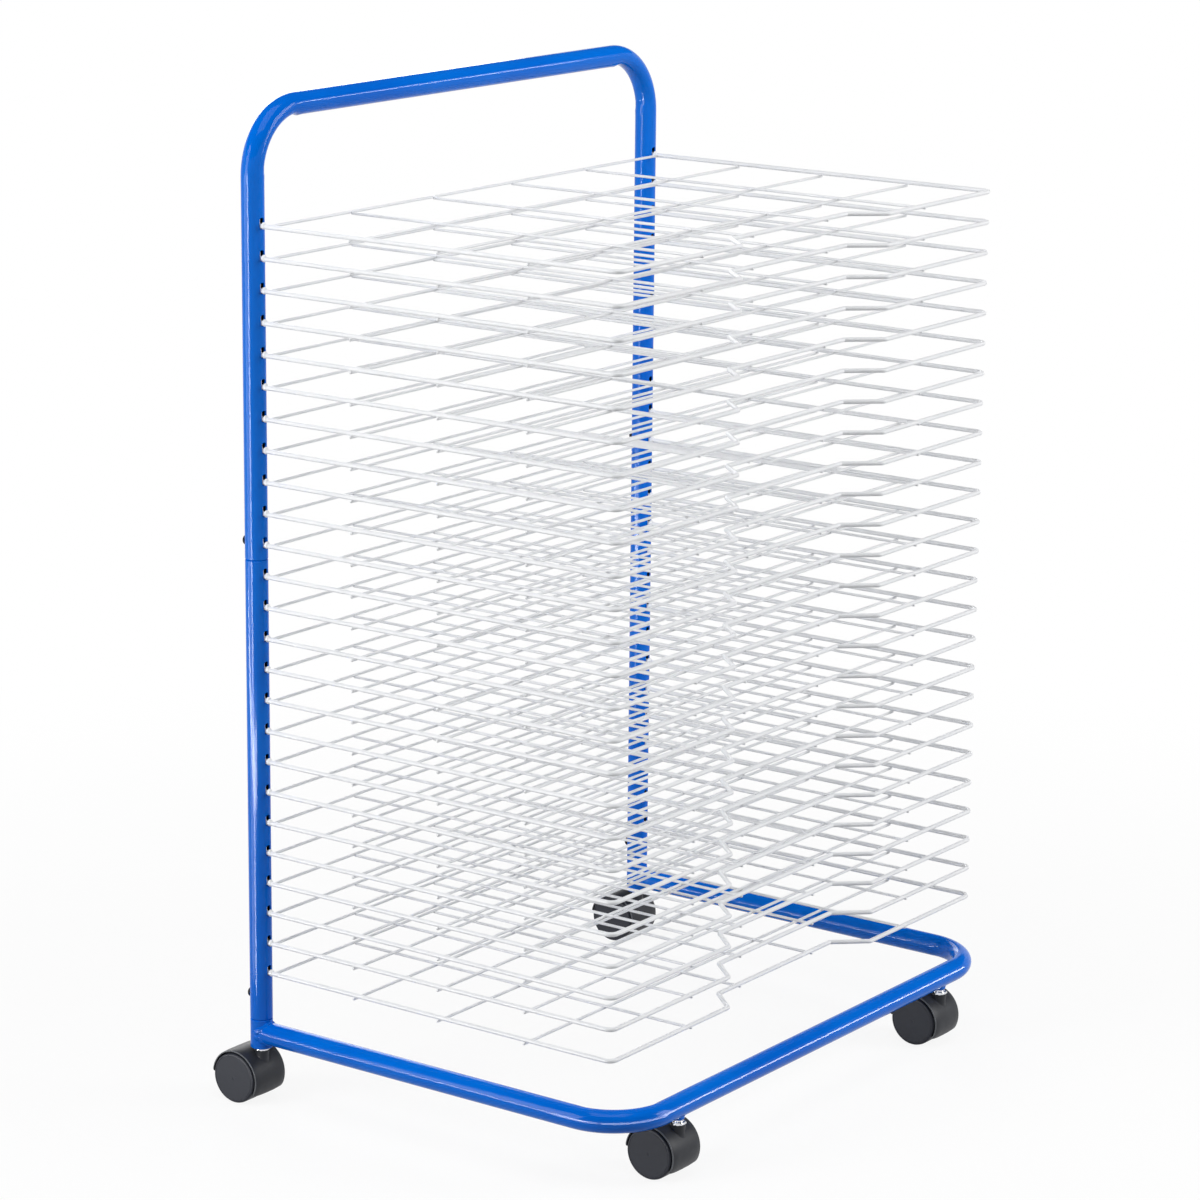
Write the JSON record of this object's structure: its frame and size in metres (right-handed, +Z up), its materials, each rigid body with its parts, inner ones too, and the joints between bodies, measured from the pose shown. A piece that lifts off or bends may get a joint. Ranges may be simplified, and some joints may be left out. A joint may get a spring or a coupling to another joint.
{
  "type": "art drying rack",
  "caption": "Mobile art drying rack: a bent blue tube frame on swivel casters with hooked white wire shelves, each for a sheet of wet artwork.",
  "frame": {"origin": "on the floor under the middle of the rack's outline", "axes": "+Z up, the shelves reach towards -Y, the posts stand on the +Y side, left is -X"},
  "size_m": [0.67, 0.4924, 0.9763],
  "materials": {
    "frame_blue": "gloss blue powder coat on steel tube",
    "shelf_white": "satin white powder coat on steel wire",
    "hood_black": "satin moulded plastic",
    "wheel_black": "satin moulded plastic",
    "stem_chrome": "bright plated steel",
    "bolt_black": "black coated steel",
    "zinc_steel": "zinc plated steel"
  },
  "bodies": {
    "frame": {"top_hoop": "frame_blue", "base_loop": "frame_blue", "lower_post_left": "frame_blue", "lower_post_right": "frame_blue", "stub_plug_left": "zinc_steel", "stub_plug_right": "zinc_steel", "mid_bolt_left": "bolt_black", "mid_bolt_right": "bolt_black", "base_bolt_left": "bolt_black", "base_bolt_right": "bolt_black", "mid_nut_left": "zinc_steel", "mid_nut_right": "zinc_steel", "base_nut_left": "zinc_steel", "base_nut_right": "zinc_steel", "caster_rear_left_stem": "stem_chrome", "caster_rear_right_stem": "stem_chrome", "caster_front_left_stem": "stem_chrome", "caster_front_right_stem": "stem_chrome"},
    "caster_rear_left_fork": {"caster_rear_left_hood": "hood_black", "caster_rear_left_axle": "zinc_steel"},
    "caster_rear_right_fork": {"caster_rear_right_hood": "hood_black", "caster_rear_right_axle": "zinc_steel"},
    "caster_front_left_fork": {"caster_front_left_hood": "hood_black", "caster_front_left_axle": "zinc_steel"},
    "caster_front_right_fork": {"caster_front_right_hood": "hood_black", "caster_front_right_axle": "zinc_steel"},
    "caster_rear_left_wheel_left": {"caster_rear_left_wheel_left": "wheel_black"},
    "caster_rear_left_wheel_right": {"caster_rear_left_wheel_right": "wheel_black"},
    "caster_rear_right_wheel_left": {"caster_rear_right_wheel_left": "wheel_black"},
    "caster_rear_right_wheel_right": {"caster_rear_right_wheel_right": "wheel_black"},
    "caster_front_left_wheel_left": {"caster_front_left_wheel_left": "wheel_black"},
    "caster_front_left_wheel_right": {"caster_front_left_wheel_right": "wheel_black"},
    "caster_front_right_wheel_left": {"caster_front_right_wheel_left": "wheel_black"},
    "caster_front_right_wheel_right": {"caster_front_right_wheel_right": "wheel_black"},
    "shelf_01": {"shelf_01": "shelf_white"},
    "shelf_02": {"shelf_02": "shelf_white"},
    "shelf_03": {"shelf_03": "shelf_white"},
    "shelf_04": {"shelf_04": "shelf_white"},
    "shelf_05": {"shelf_05": "shelf_white"},
    "shelf_06": {"shelf_06": "shelf_white"},
    "shelf_07": {"shelf_07": "shelf_white"},
    "shelf_08": {"shelf_08": "shelf_white"},
    "shelf_09": {"shelf_09": "shelf_white"},
    "shelf_10": {"shelf_10": "shelf_white"},
    "shelf_11": {"shelf_11": "shelf_white"},
    "shelf_12": {"shelf_12": "shelf_white"},
    "shelf_13": {"shelf_13": "shelf_white"},
    "shelf_14": {"shelf_14": "shelf_white"},
    "shelf_15": {"shelf_15": "shelf_white"},
    "shelf_16": {"shelf_16": "shelf_white"},
    "shelf_17": {"shelf_17": "shelf_white"},
    "shelf_18": {"shelf_18": "shelf_white"},
    "shelf_19": {"shelf_19": "shelf_white"},
    "shelf_20": {"shelf_20": "shelf_white"},
    "shelf_21": {"shelf_21": "shelf_white"},
    "shelf_22": {"shelf_22": "shelf_white"},
    "shelf_23": {"shelf_23": "shelf_white"},
    "shelf_24": {"shelf_24": "shelf_white"},
    "shelf_25": {"shelf_25": "shelf_white"}
  },
  "joints": [
    {"name": "rear_left_swivel", "type": "hinge", "parent": "frame", "child": "caster_rear_left_fork", "pos_m": [-0.312, 0.201, 0.045], "axis": [0, 0, 1], "continuous": true},
    {"name": "rear_right_swivel", "type": "hinge", "parent": "frame", "child": "caster_rear_right_fork", "pos_m": [0.312, 0.201, 0.045], "axis": [0, 0, 1], "continuous": true},
    {"name": "front_left_swivel", "type": "hinge", "parent": "frame", "child": "caster_front_left_fork", "pos_m": [-0.23, -0.235, 0.045], "axis": [0, 0, 1], "continuous": true},
    {"name": "front_right_swivel", "type": "hinge", "parent": "frame", "child": "caster_front_right_fork", "pos_m": [0.23, -0.235, 0.045], "axis": [0, 0, 1], "continuous": true},
    {"name": "rear_left_roll_left", "type": "hinge", "parent": "caster_rear_left_fork", "child": "caster_rear_left_wheel_left", "pos_m": [-0.326, 0.218, 0.025], "axis": [1, 0, 0], "continuous": true},
    {"name": "rear_left_roll_right", "type": "hinge", "parent": "caster_rear_left_fork", "child": "caster_rear_left_wheel_right", "pos_m": [-0.298, 0.218, 0.025], "axis": [1, 0, 0], "continuous": true},
    {"name": "rear_right_roll_left", "type": "hinge", "parent": "caster_rear_right_fork", "child": "caster_rear_right_wheel_left", "pos_m": [0.298, 0.218, 0.025], "axis": [1, 0, 0], "continuous": true},
    {"name": "rear_right_roll_right", "type": "hinge", "parent": "caster_rear_right_fork", "child": "caster_rear_right_wheel_right", "pos_m": [0.326, 0.218, 0.025], "axis": [1, 0, 0], "continuous": true},
    {"name": "front_left_roll_left", "type": "hinge", "parent": "caster_front_left_fork", "child": "caster_front_left_wheel_left", "pos_m": [-0.244, -0.218, 0.025], "axis": [1, 0, 0], "continuous": true},
    {"name": "front_left_roll_right", "type": "hinge", "parent": "caster_front_left_fork", "child": "caster_front_left_wheel_right", "pos_m": [-0.216, -0.218, 0.025], "axis": [1, 0, 0], "continuous": true},
    {"name": "front_right_roll_left", "type": "hinge", "parent": "caster_front_right_fork", "child": "caster_front_right_wheel_left", "pos_m": [0.216, -0.218, 0.025], "axis": [1, 0, 0], "continuous": true},
    {"name": "front_right_roll_right", "type": "hinge", "parent": "caster_front_right_fork", "child": "caster_front_right_wheel_right", "pos_m": [0.244, -0.218, 0.025], "axis": [1, 0, 0], "continuous": true},
    {"name": "shelf_01_tilt", "type": "hinge", "parent": "frame", "child": "shelf_01", "pos_m": [0, 0.1912, 0.85635], "axis": [-1, 0, 0], "range_deg": [0, 40]},
    {"name": "shelf_02_tilt", "type": "hinge", "parent": "frame", "child": "shelf_02", "pos_m": [0, 0.1912, 0.8261], "axis": [-1, 0, 0], "range_deg": [0, 2.9]},
    {"name": "shelf_03_tilt", "type": "hinge", "parent": "frame", "child": "shelf_03", "pos_m": [0, 0.1912, 0.79585], "axis": [-1, 0, 0], "range_deg": [0, 2.9]},
    {"name": "shelf_04_tilt", "type": "hinge", "parent": "frame", "child": "shelf_04", "pos_m": [0, 0.1912, 0.7656], "axis": [-1, 0, 0], "range_deg": [0, 2.9]},
    {"name": "shelf_05_tilt", "type": "hinge", "parent": "frame", "child": "shelf_05", "pos_m": [0, 0.1912, 0.73535], "axis": [-1, 0, 0], "range_deg": [0, 2.9]},
    {"name": "shelf_06_tilt", "type": "hinge", "parent": "frame", "child": "shelf_06", "pos_m": [0, 0.1912, 0.7051], "axis": [-1, 0, 0], "range_deg": [0, 2.9]},
    {"name": "shelf_07_tilt", "type": "hinge", "parent": "frame", "child": "shelf_07", "pos_m": [0, 0.1912, 0.67485], "axis": [-1, 0, 0], "range_deg": [0, 2.9]},
    {"name": "shelf_08_tilt", "type": "hinge", "parent": "frame", "child": "shelf_08", "pos_m": [0, 0.1912, 0.6446], "axis": [-1, 0, 0], "range_deg": [0, 2.9]},
    {"name": "shelf_09_tilt", "type": "hinge", "parent": "frame", "child": "shelf_09", "pos_m": [0, 0.1912, 0.61435], "axis": [-1, 0, 0], "range_deg": [0, 2.9]},
    {"name": "shelf_10_tilt", "type": "hinge", "parent": "frame", "child": "shelf_10", "pos_m": [0, 0.1912, 0.5841], "axis": [-1, 0, 0], "range_deg": [0, 2.9]},
    {"name": "shelf_11_tilt", "type": "hinge", "parent": "frame", "child": "shelf_11", "pos_m": [0, 0.1912, 0.55385], "axis": [-1, 0, 0], "range_deg": [0, 2.9]},
    {"name": "shelf_12_tilt", "type": "hinge", "parent": "frame", "child": "shelf_12", "pos_m": [0, 0.1912, 0.5236], "axis": [-1, 0, 0], "range_deg": [0, 2.9]},
    {"name": "shelf_13_tilt", "type": "hinge", "parent": "frame", "child": "shelf_13", "pos_m": [0, 0.1912, 0.49335], "axis": [-1, 0, 0], "range_deg": [0, 2.9]},
    {"name": "shelf_14_tilt", "type": "hinge", "parent": "frame", "child": "shelf_14", "pos_m": [0, 0.1912, 0.4631], "axis": [-1, 0, 0], "range_deg": [0, 2.9]},
    {"name": "shelf_15_tilt", "type": "hinge", "parent": "frame", "child": "shelf_15", "pos_m": [0, 0.1912, 0.43285], "axis": [-1, 0, 0], "range_deg": [0, 2.9]},
    {"name": "shelf_16_tilt", "type": "hinge", "parent": "frame", "child": "shelf_16", "pos_m": [0, 0.1912, 0.4026], "axis": [-1, 0, 0], "range_deg": [0, 2.9]},
    {"name": "shelf_17_tilt", "type": "hinge", "parent": "frame", "child": "shelf_17", "pos_m": [0, 0.1912, 0.37235], "axis": [-1, 0, 0], "range_deg": [0, 2.9]},
    {"name": "shelf_18_tilt", "type": "hinge", "parent": "frame", "child": "shelf_18", "pos_m": [0, 0.1912, 0.3421], "axis": [-1, 0, 0], "range_deg": [0, 2.9]},
    {"name": "shelf_19_tilt", "type": "hinge", "parent": "frame", "child": "shelf_19", "pos_m": [0, 0.1912, 0.31185], "axis": [-1, 0, 0], "range_deg": [0, 2.9]},
    {"name": "shelf_20_tilt", "type": "hinge", "parent": "frame", "child": "shelf_20", "pos_m": [0, 0.1912, 0.2816], "axis": [-1, 0, 0], "range_deg": [0, 2.9]},
    {"name": "shelf_21_tilt", "type": "hinge", "parent": "frame", "child": "shelf_21", "pos_m": [0, 0.1912, 0.25135], "axis": [-1, 0, 0], "range_deg": [0, 2.9]},
    {"name": "shelf_22_tilt", "type": "hinge", "parent": "frame", "child": "shelf_22", "pos_m": [0, 0.1912, 0.2211], "axis": [-1, 0, 0], "range_deg": [0, 2.9]},
    {"name": "shelf_23_tilt", "type": "hinge", "parent": "frame", "child": "shelf_23", "pos_m": [0, 0.1912, 0.19085], "axis": [-1, 0, 0], "range_deg": [0, 2.9]},
    {"name": "shelf_24_tilt", "type": "hinge", "parent": "frame", "child": "shelf_24", "pos_m": [0, 0.1912, 0.1606], "axis": [-1, 0, 0], "range_deg": [0, 2.9]},
    {"name": "shelf_25_tilt", "type": "hinge", "parent": "frame", "child": "shelf_25", "pos_m": [0, 0.1912, 0.13035], "axis": [-1, 0, 0], "range_deg": [0, 2.9]}
  ]
}
